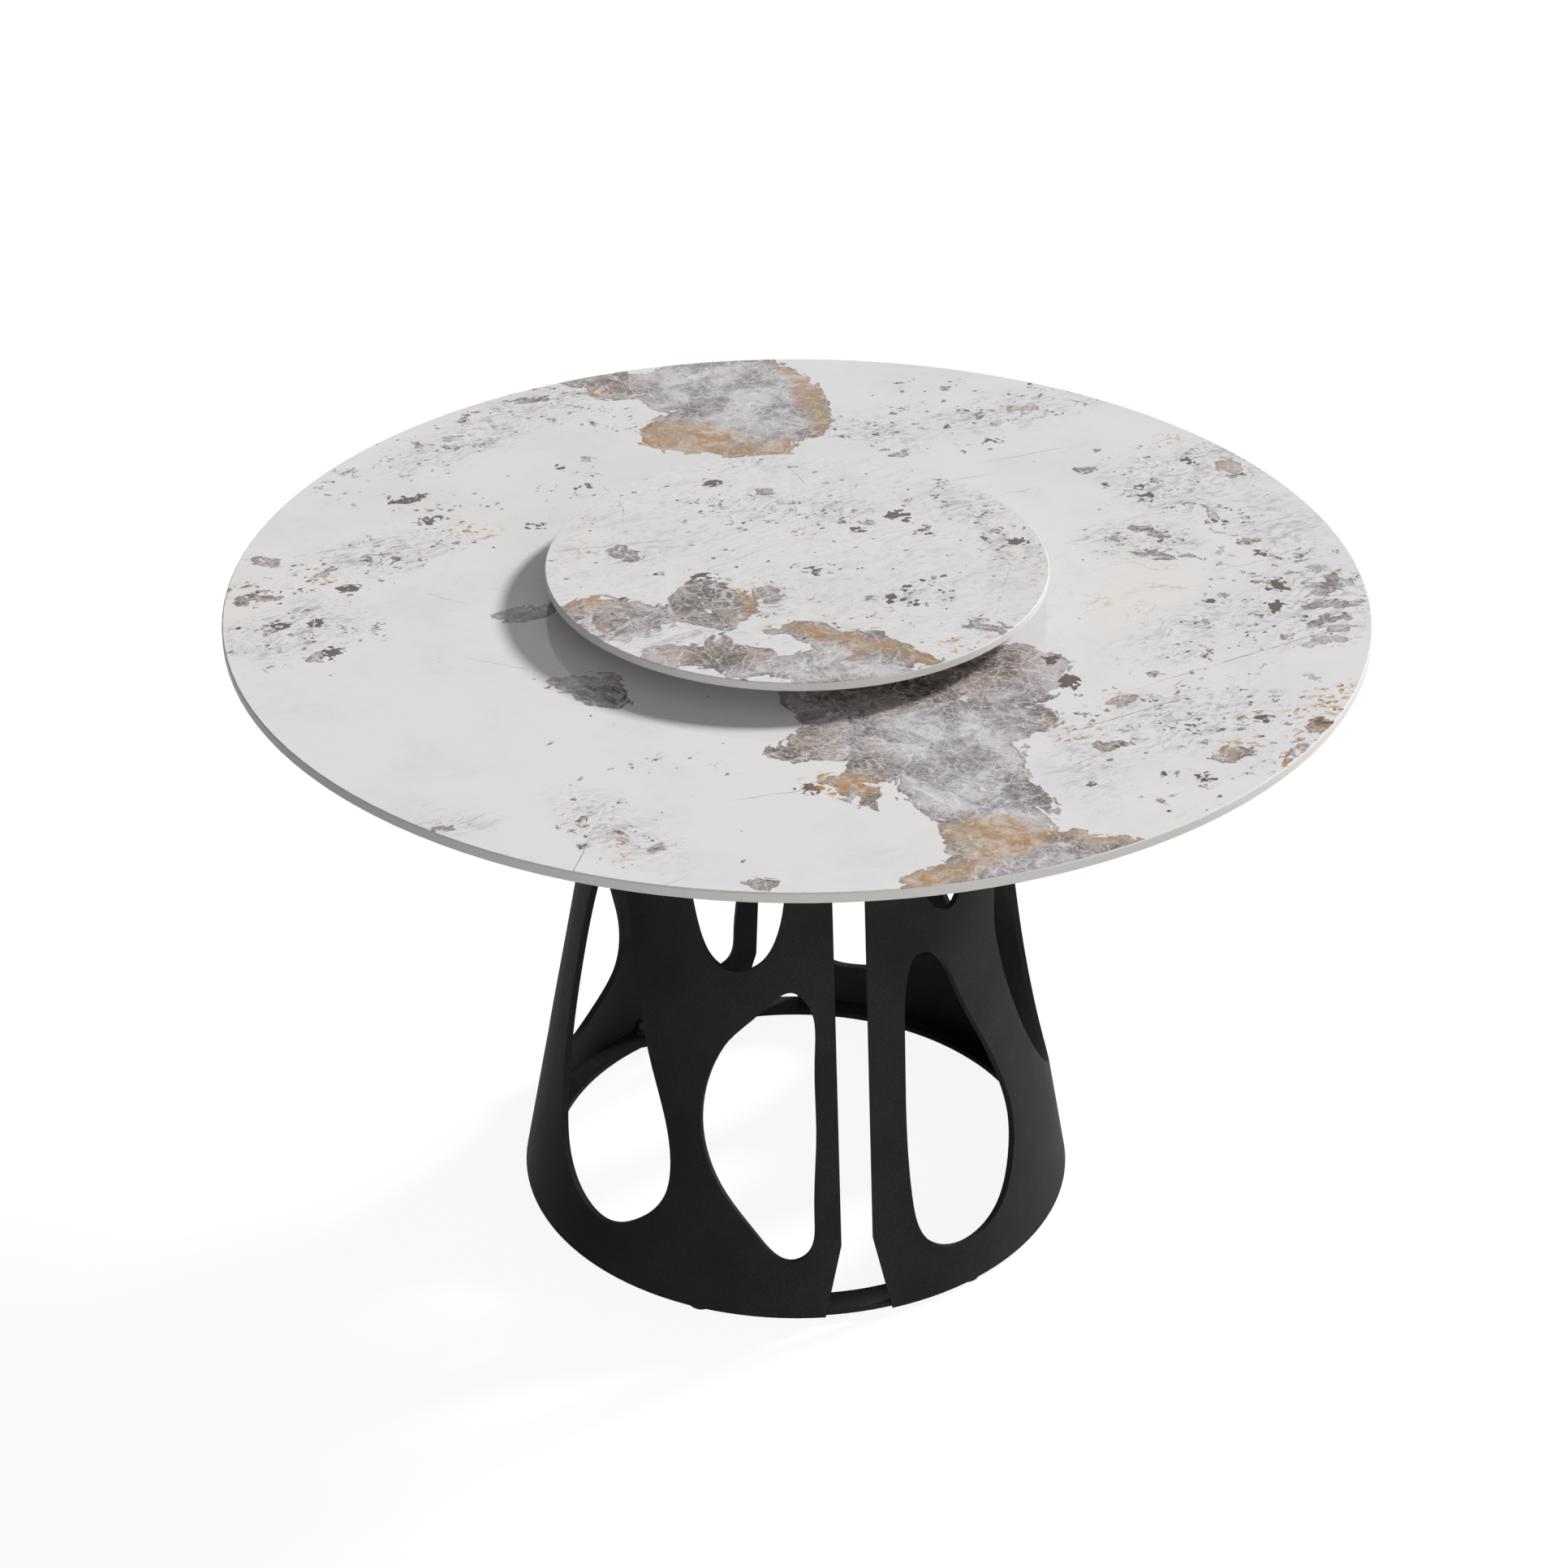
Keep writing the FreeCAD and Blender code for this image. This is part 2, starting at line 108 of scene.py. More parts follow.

# %% [markdown]
# The stone is pressed and fired in one slab, and its upper face carries a printed and polished
# picture of natural rock: a white ground with faint cream and blue-grey clouds, large grey patches
# like smoky quartz with brown and rust-coloured borders, small dark flakes that gather in swarms,
# and hairline cracks. The sawn rim shows the plain white body.
#
# A painted image could show all this, but nodes stay sharp at any size. Where each feature lies is
# given in a table: it lists its middle, its two half-widths and its turn, in millimetres and
# degrees. First the large slab: its patches, where these are brown or tan, the smudges on its ground,
# the dark flakes (chips) that stand alone, the swarms of small ones, rust, and cracks.

# %% Places on the table top
TOP_LAYOUT = {
    "patches": [
        (0, 552, 106, 84, 0), (60, 474, 56, 105, 0), (-45, 420, 78, 58, -10), (-150, 580, 50, 18, -20),
        (5, 372, 58, 30, 0), (-72, 520, 46, 36, -40), (-118, 565, 62, 40, -15), (10, 460, 60, 60, 0),
        (98, -232, 160, 86, 8), (72, -328, 148, 58, 4), (95, -390, 76, 70, 0), (98, -450, 70, 84, 0),
        (-66, -352, 22, 20, 0), (105, -525, 52, 50, 0), (105, -565, 52, 44, 15), (76, -606, 84, 32, 15),
        (190, -568, 66, 18, -16), (162, -480, 11, 36, 4), (-18, -430, 34, 16, -48), (-2, -462, 9, 14, 20),
        (-250, -172, 40, 24, -10), (-238, -200, 26, 38, 20), (-297, -3, 32, 15, 10),
        (415, 82, 24, 8, -20), (404, 22, 26, 7, -25), (441, 4, 15, 6, -15), (547, 228, 17, 14, 0),
        (350, 424, 17, 10, 0), (382, 242, 15, 6, 0), (497, 107, 7, 24, 12), (-457, 150, 13, 13, 0),
        (-571, 164, 17, 10, -30), (-582, 74, 22, 10, 15), (-343, 426, 14, 7, 0), (-246, 550, 23, 12, 0),
        (375, -424, 30, 13, 30), (284, -302, 22, 9, 25), (257, -388, 18, 8, -10), (-420, -442, 14, 9, 0),
        (-134, -598, 20, 9, 0), (-532, -69, 14, 14, 0), (540, -212, 26, 9, 0), (566, -190, 14, 9, 0),
        (570, -95, 24, 9, 20), (552, -128, 20, 8, 25), (480, -385, 16, 10, 50), (440, -430, 26, 7, 45),
        (14, -396, 30, 34, -10), (594, -76, 16, 20, 20), (584, -130, 24, 9, 15), (556, -168, 24, 8, 20),
        (160, -590, 58, 22, 13),
    ],
    "browns": [
        (98, -215, 165, 62, 8), (-50, -340, 60, 44, 10), (0, -390, 40, 50, 0), (-10, -440, 50, 40, -40),
        (-571, 164, 30, 20, 0), (-545, 60, 80, 90, 20), (-457, 150, 24, 20, 0), (415, 50, 40, 50, 0),
        (-140, 575, 60, 40, 0), (300, -400, 110, 60, 15), (400, -420, 60, 50, 20),
        (-134, -598, 30, 20, 0), (205, -340, 30, 50, 0), (160, -483, 16, 40, 0), (190, -572, 60, 16, -16),
    ],
    "tans": [
        (-70, 410, 66, 46, -10), (10, 362, 66, 18, 0), (98, 470, 14, 110, 4), (100, -535, 40, 26, 0),
        (110, -562, 44, 20, 20), (40, -606, 56, 16, 15), (547, 228, 12, 10, 0), (200, -548, 60, 5, -4),
        (-10, -425, 30, 12, -40), (230, -570, 30, 5, -18),
    ],
    "smudges": [
        (575, -100, 60, 44, 10), (550, -140, 74, 36, 20), (535, -180, 60, 30, 20),
        (420, -150, 80, 24, 22), (375, -200, 30, 16, 20), (540, 240, 56, 60, 0), (470, 190, 60, 80, 10),
        (560, 60, 40, 90, 0), (-545, 0, 70, 50, 30), (-440, 165, 70, 40, 20), (-330, 440, 90, 44, 35),
        (-220, 530, 70, 40, 25), (330, 420, 100, 36, 15), (345, -350, 90, 50, 20), (225, -420, 26, 60, 0),
        (-260, -470, 30, 70, 25), (-420, -442, 26, 18, 0), (150, 400, 70, 36, -30), (400, 60, 60, 50, 0),
    ],
    "chips": [
        (244, -199, 11, 8, 10), (248, -252, 10, 14, 0), (-58, -426, 16, 6, 5), (-482, 86, 16, 9, 5),
        (-406, 296, 17, 9, 0), (-388, 303, 8, 5, 20), (-391, 237, 7, 9, -20), (-374, 245, 11, 6, 15),
        (-199, 300, 7, 6, 0), (-217, 349, 6, 8, 0), (-266, 206, 10, 5, 0), (431, 194, 10, 8, 0),
        (438, 164, 6, 14, 20), (509, 251, 9, 8, 0), (496, 87, 10, 7, 0), (435, -95, 10, 5, 10),
        (517, 29, 8, 4, 0), (528, 5, 9, 7, 0), (521, -72, 9, 15, 0), (506, -123, 9, 13, 0),
        (343, -368, 10, 4, 0), (424, -360, 16, 5, 0), (337, -470, 9, 6, 0), (484, -379, 9, 7, 0),
        (288, 343, 9, 5, 0), (-510, -63, 8, 12, -30), (-523, 9, 9, 7, 30), (-563, 11, 12, 7, 0),
    ],
    "swarms": [
        (-402, 295, 34, 22, 0), (-375, 241, 56, 32, 20), (-205, 318, 40, 34, 0), (-430, 161, 90, 55, 20),
        (-545, -15, 84, 70, 30), (-560, 98, 74, 44, 20), (-241, 535, 90, 56, 30), (-345, 425, 80, 50, 40),
        (345, 425, 100, 45, 15), (286, 344, 34, 22, 0), (447, 196, 52, 95, 0), (540, 245, 66, 74, 0),
        (415, 50, 66, 52, 0), (500, 90, 48, 66, 0), (545, -85, 90, 100, 0), (420, -200, 95, 56, 20),
        (339, -345, 120, 74, 10), (440, -360, 115, 66, 20), (345, -478, 66, 40, 20),
        (447, -425, 70, 44, 30), (-262, -470, 44, 80, 25), (240, 473, 70, 50, 0), (-183, -354, 30, 18, 0),
        (150, 390, 80, 36, -30), (-440, 380, 70, 50, 35), (-150, 470, 40, 50, 0),
    ],
    "rusts": [
        (458, -415, 64, 26, 45), (500, -340, 60, 24, 40), (385, -415, 26, 16, 0), (500, 318, 18, 12, 0),
        (-340, 205, 34, 22, 0), (-290, 462, 9, 26, -15), (-30, -425, 40, 26, -40), (-509, 107, 20, 14, 0),
        (284, -300, 30, 10, 10), (556, -212, 26, 8, 0), (-150, 560, 36, 16, 0), (352, 428, 18, 8, 0),
        (245, -360, 14, 12, 0), (430, -455, 40, 12, 40), (215, -352, 12, 30, 0), (470, -350, 24, 10, 0),
        (-300, -442, 22, 9, -40), (-260, -505, 9, 32, 20),
    ],
    "cracks": [
        (430, -232, 170, 1.0, 21), (290, -330, 110, 1.0, 20), (-505, 178, 44, 0.9, 12),
        (250, 250, 60, 0.7, 8), (-300, -520, 60, 0.7, 70), (-140, 250, 130, 0.6, 60),
        (330, 300, 90, 0.6, 12), (-90, -430, 60, 0.7, 5), (-240, -590, 60, 0.6, 30),
        (-330, -120, 70, 0.5, -30), (500, -20, 70, 0.6, 15), (-400, 60, 80, 0.5, -40),
    ],
}
print("places on the table top:", sum(len(rows) for rows in TOP_LAYOUT.values()))

# %% [markdown]
# The turntable was cut from another part of such a slab, so it has its own places. Its patches lie along
# the front, and its middle is almost clear.

# %% Places on the turntable
DISC_LAYOUT = {
    "patches": [
        (-215, -95, 62, 44, -12), (-107, -90, 46, 57, 8), (-160, -104, 42, 22, 0),
        (-208, -132, 38, 16, 10), (27, -196, 96, 27, -34), (-20, -153, 38, 15, -8), (5, -238, 84, 40, 0),
        (55, -182, 11, 12, 0), (-85, -222, 34, 34, 0), (-150, -198, 46, 20, -18),
        (-112, -178, 15, 26, -10), (176, -184, 24, 11, -35), (-182, 50, 24, 12, -40), (-8, 172, 17, 8, 0),
        (-45, -70, 14, 22, 10),
    ],
    "browns": [
        (-107, -88, 60, 60, 0), (-228, -98, 56, 44, 0), (-20, -150, 44, 20, -8), (30, -190, 100, 20, -34),
        (-110, -190, 70, 50, 0), (176, -184, 30, 16, -35), (-8, 172, 24, 12, 0),
    ],
    "tans": [
        (36, -196, 84, 12, -34), (92, -235, 24, 14, -45), (-235, -56, 44, 7, 5), (-26, -148, 30, 7, -8),
        (-64, -70, 6, 34, 0), (30, -208, 5, 14, -20),
    ],
    "smudges": [
        (-10, 140, 60, 36, 0), (60, 120, 50, 40, -20), (210, 110, 40, 50, 20), (235, 0, 30, 50, 0),
        (-45, -70, 24, 46, 0), (105, -100, 44, 20, 10), (175, -185, 34, 18, -35), (-150, -150, 50, 22, 0),
        (-20, 255, 34, 16, 0), (-182, 50, 34, 14, -40), (-190, 70, 80, 5, 3),
    ],
    "chips": [
        (-63, 209, 10, 9, 0), (129, 96, 15, 9, 0), (137, 75, 8, 4, 0), (73, 88, 10, 4, 0),
        (82, 66, 9, 4, 10), (160, 43, 9, 4, 0), (247, 8, 11, 9, 0), (18, -26, 9, 6, 30),
        (87, -102, 8, 6, 0), (104, -81, 6, 5, 0), (106, -115, 7, 5, 0), (145, -98, 8, 3, 0),
        (119, -117, 9, 4, 0), (-114, -17, 10, 6, 0), (-98, -20, 6, 4, 0), (-255, -140, 12, 8, -30),
    ],
    "swarms": [
        (128, 98, 26, 18, 0), (74, 82, 30, 28, 0), (-110, -20, 20, 12, 0), (20, -25, 20, 14, 0),
        (105, -98, 46, 28, 20), (240, 5, 30, 24, 0), (160, 45, 34, 16, 0), (-40, 155, 60, 46, 0),
        (5, 110, 76, 46, 0), (-42, -80, 40, 40, 0), (70, -138, 50, 8, 0), (176, -180, 36, 24, -30),
        (205, 130, 40, 56, 15), (-30, 262, 34, 12, 0), (228, 30, 40, 60, 0), (-140, -165, 60, 20, 0),
    ],
    "rusts": [
        (240, -28, 28, 7, -20), (18, 66, 18, 16, 0), (130, -222, 24, 22, 0), (260, -52, 14, 6, -40),
        (-70, -62, 10, 30, 10), (-50, -236, 10, 8, 0), (-69, 138, 8, 7, 0), (70, 90, 14, 7, 0),
        (160, -212, 18, 6, 40), (250, -75, 10, 14, 0), (-150, -190, 40, 8, 0),
    ],
    "cracks": [
        (36, 212, 30, 0.7, -80), (-190, 72, 95, 0.8, 3), (-150, 60, 60, 0.6, -4), (208, 75, 40, 0.6, 80),
        (-172, 160, 70, 0.5, 86), (215, -80, 45, 0.5, 70), (20, 130, 60, 0.5, 85), (-60, 20, 90, 0.5, 30),
    ],
}
print("places on the turntable:", sum(len(rows) for rows in DISC_LAYOUT.values()))

# %% [markdown]
# Three steps turn such a table into a pattern. A Mapping node turns each row into a circle, a spherical
# gradient falls off from its middle to a field three times as wide, and the highest of all these
# gradients is a contour map. Before that, noise pushes the points about, so that the contours come out
# broken, not drawn. After that, each layer of colour is laid on the last one, as a printer does it,
# by the product of its masks.

# %% Steps that all layers of the stone share
FIELD = 3


def places(tree, vector, table):
    """How deep a point lies inside the nearest place of a table, in metres; outside is negative."""
    deepest = None
    for x, y, half_length, half_width, turn in table:
        circle = add(tree, MAPPING, {
            "Vector": vector, "Location": (x * MM, y * MM, 0), "Rotation": (0, 0, math.radians(turn)),
            "Scale": (half_length * MM * FIELD, half_width * MM * FIELD, 1)}, **DRAWN_OUT)
        inward = add(tree, "ShaderNodeTexGradient", {"Vector": circle}, 1, gradient_type="SPHERICAL")
        reach = min(half_length, half_width) * MM
        depth = add(tree, MATH, {0: inward, 1: FIELD * reach, 2: (1 - FIELD) * reach},
                    operation="MULTIPLY_ADD")
        if deepest is not None:
            depth = add(tree, MATH, {0: deepest, 1: depth}, operation="MAXIMUM")
        deepest = depth
    return deepest


def pushed(tree, vector, push, reach_mm):
    """Points moved by a colour pattern, by up to half the reach each way."""
    centred = add(tree, VECTOR, {0: push, 1: (0.5, 0.5, 0.5)}, operation="SUBTRACT")
    reach = (reach_mm * MM, reach_mm * MM, 0)
    return add(tree, VECTOR, {0: centred, 1: reach, 2: vector}, operation="MULTIPLY_ADD")


def laid_on(tree, under, over, strength, *masks):
    """One colour laid over another, by a strength and the product of the masks."""
    share = strength
    for mask in masks:
        share = add(tree, MATH, {0: mask, 1: share}, operation="MULTIPLY", use_clamp=True)
    return add(tree, MIX, {0: share, 6: under, 7: over}, **COLOUR)


print("each place has a field", FIELD, "times as wide")

# %% [markdown]
# The ground is white. Clouds of cream and of a cold grey drift through it. Near the swarms of
# flakes it is smudged with blue-grey scuffs that all lie about the same way: a Mapping node of the
# Texture kind draws a pattern out along any direction. Hairlines cross it: some long ones from the
# table of places, and many faint ones where a drawn-out noise passes through its middle value.

# %% Ground and hairlines of the stone
LEAN = math.radians(20)


def stone_ground(tree, flat, layout):
    """Colour of the ground with its clouds, scuffs and hairlines."""
    bent = pushed(tree, flat, add(tree, NOISE, {"Vector": flat, "Scale": per(80), "Detail": 5}, 1), 60)
    drawn = add(tree, MAPPING, {"Vector": bent, "Rotation": (0, 0, LEAN), "Scale": (2.6, 1, 1)}, **DRAWN_OUT)
    cream = add(tree, NOISE, {"Vector": bent, "Scale": per(260), "Detail": 3})
    cream = add(tree, RANGE, {0: cream, 1: 0.48, 2: 0.70}, **SMOOTH)
    colour = laid_on(tree, linear("e1dfe0"), linear("e3ddd4"), 0.4, cream)
    cold = add(tree, NOISE, {"Vector": bent, "Scale": per(170), "Detail": 6, "Roughness": 0.6})
    cold = add(tree, RANGE, {0: cold, 1: 0.46, 2: 0.64}, **SMOOTH)
    near = add(tree, RANGE, {0: places(tree, bent, layout["smudges"]), 1: -30 * MM, 2: 30 * MM}, **SMOOTH)
    colour = laid_on(tree, colour, linear("d6d4d7"), 0.35, cold)
    for size_mm, shade, strength in ((15, "a3a2a8", 0.80), (5, "868388", 0.80)):
        scuff = add(tree, NOISE, {"Vector": drawn, "Scale": per(size_mm), "Detail": 8, "Roughness": 0.72})
        scuff = add(tree, RANGE, {0: scuff, 1: 0.485, 2: 0.66}, **SMOOTH)
        colour = laid_on(tree, colour, linear(shade), strength, near, scuff)
        colour = laid_on(tree, colour, linear(shade), strength * 0.12, cold, scuff)
    waved = pushed(tree, flat, add(tree, NOISE, {"Vector": flat, "Scale": per(26), "Detail": 3}, 1), 9)
    hair = add(tree, RANGE, {0: places(tree, waved, layout["cracks"]), 1: 0, 2: 0.4 * MM})
    worn = add(tree, NOISE, {"Vector": flat, "Scale": per(45), "Detail": 3})
    worn = add(tree, RANGE, {0: worn, 1: 0.34, 2: 0.5}, **SMOOTH)
    colour = laid_on(tree, colour, linear("8a6f58"), 0.75, hair, worn)
    for size_mm in (150, 60):
        ridge = add(tree, NOISE, {"Vector": drawn, "Scale": per(size_mm), "Detail": 4})
        ridge = add(tree, MATH, {0: ridge, 1: 0.5, 2: 0.0022}, operation="COMPARE")
        colour = laid_on(tree, colour, linear("c0a585"), 0.45, ridge, worn, cream)
    return colour


print("scuffs lean by", round(math.degrees(LEAN)), "degrees")

# %% [markdown]
# The grey patches look like layers of mica under ice: smoky, crossed by a web of pale veins, browner
# towards their borders and tan or orange in a few places. Their borders are ragged at every size:
# a strongly detailed noise gives the large bays, and cells of 14 mm, each pushed as a whole, give
# the small square chips. A vein is where a noise is close to its middle value. A finer web runs
# along the borders of frayed cells, of 26 and of 11 mm.

# %% Patches of the stone
def stone_patches(tree, flat, colour, layout):
    """A colour with the grey patches laid on."""
    bays = add(tree, NOISE, {"Vector": flat, "Scale": per(70), "Detail": 8, "Roughness": 0.62}, 1)
    bent = pushed(tree, flat, bays, 46)
    chips = add(tree, CELLS, {"Vector": bent, "Scale": per(14)}, "Color")
    depth = places(tree, pushed(tree, bent, chips, 13), layout["patches"])
    patch = add(tree, RANGE, {0: depth, 1: -0.5 * MM, 2: 0.9 * MM}, **SMOOTH)

    smoke = add(tree, NOISE, {"Vector": bent, "Scale": per(62), "Detail": 11, "Roughness": 0.72,
                              "Distortion": 0.6})
    clear = add(tree, RANGE, {0: smoke, 1: 0.41, 2: 0.60}, **SMOOTH)
    grey = add(tree, MIX, {0: clear, 6: linear("80797d"), 7: linear("cac7cd")}, **COLOUR)
    umber = add(tree, MIX, {0: clear, 6: linear("493a31"), 7: linear("a38f84")}, **COLOUR)
    drift = add(tree, NOISE, {"Vector": flat, "Scale": per(60), "Detail": 5})
    inset = add(tree, MATH, {0: drift, 1: 70 * MM, 2: depth}, operation="MULTIPLY_ADD")
    border = add(tree, RANGE, {0: inset, 1: 32 * MM, 2: 66 * MM, 3: 1, 4: 0}, **SMOOTH)
    region = add(tree, RANGE, {0: places(tree, bent, layout["browns"]), 1: -20 * MM, 2: 30 * MM}, **SMOOTH)
    border = add(tree, MATH, {0: border, 1: 0.6}, operation="MULTIPLY")
    brown = add(tree, MATH, {0: border, 1: region}, operation="MAXIMUM")
    grey = laid_on(tree, grey, umber, 0.92, brown)
    grey = laid_on(tree, grey, linear("54443a"), 0.32, region, drift)

    for size_mm, width, strength in ((36, 0.010, 0.60), (12, 0.014, 0.50)):
        vein = add(tree, NOISE, {"Vector": bent, "Scale": per(size_mm), "Detail": 6, "Roughness": 0.6,
                                 "Distortion": 0.8})
        vein = add(tree, MATH, {0: vein, 1: 0.5}, operation="SUBTRACT")
        vein = add(tree, MATH, {0: vein}, operation="ABSOLUTE")
        vein = add(tree, RANGE, {0: vein, 1: 0, 2: width, 3: 1, 4: 0}, **SMOOTH)
        grey = laid_on(tree, grey, linear("e0dee0"), strength, vein)
    frayed = pushed(tree, bent, smoke.node.outputs[1], 34)
    for size_mm, width, strength in ((26, 0.035, 0.60), (11, 0.055, 0.50)):
        web = add(tree, CELLS, {"Vector": frayed, "Scale": per(size_mm)}, feature="DISTANCE_TO_EDGE")
        web = add(tree, RANGE, {0: web, 1: 0, 2: width, 3: 1, 4: 0}, **SMOOTH)
        grey = laid_on(tree, grey, linear("e4e2e4"), strength, web)
    grit = add(tree, NOISE, {"Vector": flat, "Scale": per(11), "Detail": 7, "Roughness": 0.72})
    grit = add(tree, RANGE, {0: grit, 1: 0.53, 2: 0.68}, **SMOOTH)
    grey = laid_on(tree, grey, linear("604f43"), 0.55, grit)

    tan = add(tree, RANGE, {0: places(tree, bent, layout["tans"]), 1: -12 * MM, 2: 10 * MM}, **SMOOTH)
    blot = add(tree, NOISE, {"Vector": bent, "Scale": per(30), "Detail": 11, "Roughness": 0.82})
    blot = add(tree, RANGE, {0: blot, 1: 0.47, 2: 0.58}, **SMOOTH)
    grey = laid_on(tree, grey, linear("bd9a62"), 0.45, tan)
    grey = laid_on(tree, grey, linear("a86f1c"), 0.85, tan, blot)

    line = add(tree, RANGE, {0: depth, 1: 1 * MM, 2: 4 * MM, 3: 1, 4: 0}, **SMOOTH)
    grey = laid_on(tree, grey, linear("5f4d40"), 0.7, line, drift)

    gaps = add(tree, NOISE, {"Vector": pushed(tree, bent, chips, 6), "Scale": per(42), "Detail": 6})
    solid = add(tree, RANGE, {0: gaps, 1: 0.665, 2: 0.69, 3: 1, 4: 0}, **SMOOTH)
    return laid_on(tree, colour, grey, 0.97, patch, solid)


print("patches follow", len(TOP_LAYOUT["patches"] + DISC_LAYOUT["patches"]), "places")

# %% [markdown]
# Flakes are shards of dark mineral, so round dots would look wrong. A cell texture gives polygons:
# the distance to a cell's border shrinks each polygon, and the cell's random colour decides if it is
# there at all, how large it is, and how dark. Large ones are pale and half sunk in the ground, small ones
# are dark. Three sizes, 17, 9 and 4 mm, are laid on where a swarm is, with a few brown needles
# between them. The flakes that stand alone come from their own table, split by cells of 7 mm, and so
# do crumbs of rust.

# %% Flakes and rust of the stone
def stone_flakes(tree, flat, colour, layout):
    """A colour with the flakes and the rust laid on."""
    bent = pushed(tree, flat, add(tree, NOISE, {"Vector": flat, "Scale": per(60), "Detail": 6}, 1), 44)
    swarm = add(tree, RANGE, {0: places(tree, bent, layout["swarms"]), 1: -30 * MM, 2: 30 * MM}, **SMOOTH)
    patchy = add(tree, NOISE, {"Vector": bent, "Scale": per(42), "Detail": 4})
    patchy = add(tree, RANGE, {0: patchy, 1: 0.38, 2: 0.60}, **SMOOTH)
    swarm = add(tree, MATH, {0: swarm, 1: patchy, 2: 0.004}, operation="MULTIPLY_ADD")
    clump = add(tree, NOISE, {"Vector": flat, "Scale": per(26), "Detail": 3})
    clump = add(tree, RANGE, {0: clump, 1: 0.48, 2: 0.62, 3: 0.15, 4: 1.6}, **SMOOTH)
    swarm = add(tree, MATH, {0: swarm, 1: clump}, operation="MULTIPLY")
    veil = add(tree, NOISE, {"Vector": flat, "Scale": per(7), "Detail": 7, "Roughness": 0.7})
    cover = add(tree, RANGE, {0: veil, 1: 0.40, 2: 0.56, 3: 0.25, 4: 1.0}, **SMOOTH)
    for turn in (22, -40):
        along = add(tree, MAPPING, {
            "Vector": bent, "Rotation": (0, 0, math.radians(turn)), "Scale": (6, 1, 1)}, **DRAWN_OUT)
        needle = add(tree, NOISE, {"Vector": along, "Scale": per(6), "Detail": 3, "Roughness": 0.55})
        needle = add(tree, RANGE, {0: needle, 1: 0.61, 2: 0.67}, **SMOOTH)
        colour = laid_on(tree, colour, linear("84705d"), 0.85, needle, swarm)
    lean = add(tree, MAPPING, {"Vector": flat, "Rotation": (0, 0, LEAN), "Scale": (1.35, 1, 1)}, **DRAWN_OUT)
    for size_mm, share, darkest, palest in ((17, 0.10, "6e625b", "b5aeae"), (9, 0.13, "32251e", "988a83"),
                                            (4, 0.20, "2a1c14", "877465")):
        ragged = add(tree, NOISE, {"Vector": lean, "Scale": per(size_mm), "Detail": 6, "Roughness": 0.66}, 1)
        ragged = pushed(tree, lean, ragged, size_mm * 1.1)
        shard = add(tree, CELLS, {"Vector": ragged, "Scale": per(size_mm)}, "Color")
        shard = add(tree, "ShaderNodeSeparateColor", {0: shard})
        size_draw, tone_draw = shard.node.outputs[1:]
        within = add(tree, CELLS, {"Vector": ragged, "Scale": per(size_mm)}, feature="DISTANCE_TO_EDGE")
        limit = add(tree, MATH, {0: swarm, 1: share}, operation="MULTIPLY")
        picked = add(tree, MATH, {0: shard, 1: limit}, operation="LESS_THAN")
        shrink = add(tree, MATH, {0: size_draw, 1: -0.24, 2: within}, operation="MULTIPLY_ADD")
        flake = add(tree, RANGE, {0: shrink, 1: -0.06, 2: 0.0}, **SMOOTH)
        tone = add(tree, MIX, {0: tone_draw, 6: linear(darkest), 7: linear(palest)}, **COLOUR)
        brown = add(tree, RANGE, {0: size_draw, 1: 0.36, 2: 0.56})
        tone = laid_on(tree, tone, linear("6b4d36"), 0.85, brown)
        colour = laid_on(tree, colour, tone, 1.0, flake, picked, cover)

    jagged = add(tree, NOISE, {"Vector": flat, "Scale": per(9), "Detail": 5, "Roughness": 0.65}, 1)
    jagged = pushed(tree, flat, jagged, 9)
    split = add(tree, CELLS, {"Vector": jagged, "Scale": per(7)}, "Color")
    lone = places(tree, pushed(tree, jagged, split, 14), layout["chips"])
    lone = add(tree, RANGE, {0: lone, 1: 0.1 * MM, 2: 1 * MM}, **SMOOTH)
    dark = add(tree, MIX, {0: veil, 6: linear("261a13"), 7: linear("67503e")}, **COLOUR)
    colour = laid_on(tree, colour, dark, 0.95, lone)

    crumbs = add(tree, NOISE, {"Vector": lean, "Scale": per(9), "Detail": 6, "Roughness": 0.66})
    crumbs = add(tree, RANGE, {0: crumbs, 1: 0.53, 2: 0.59}, **SMOOTH)
    rusty = add(tree, RANGE, {0: places(tree, bent, layout["rusts"]), 1: -8 * MM, 2: 12 * MM}, **SMOOTH)
    return laid_on(tree, colour, linear("b97f26"), 0.95, crumbs, rusty)


print("flakes that stand alone:", len(TOP_LAYOUT["chips"] + DISC_LAYOUT["chips"]))

# %% [markdown]
# Both slabs are the same material with other places. The pattern is on the upper face only, which the
# height along the table's axis picks out, and there the stone is polished, so it mirrors the
# turntable's rim. The rim is only ground, so it is matte and a little darker.

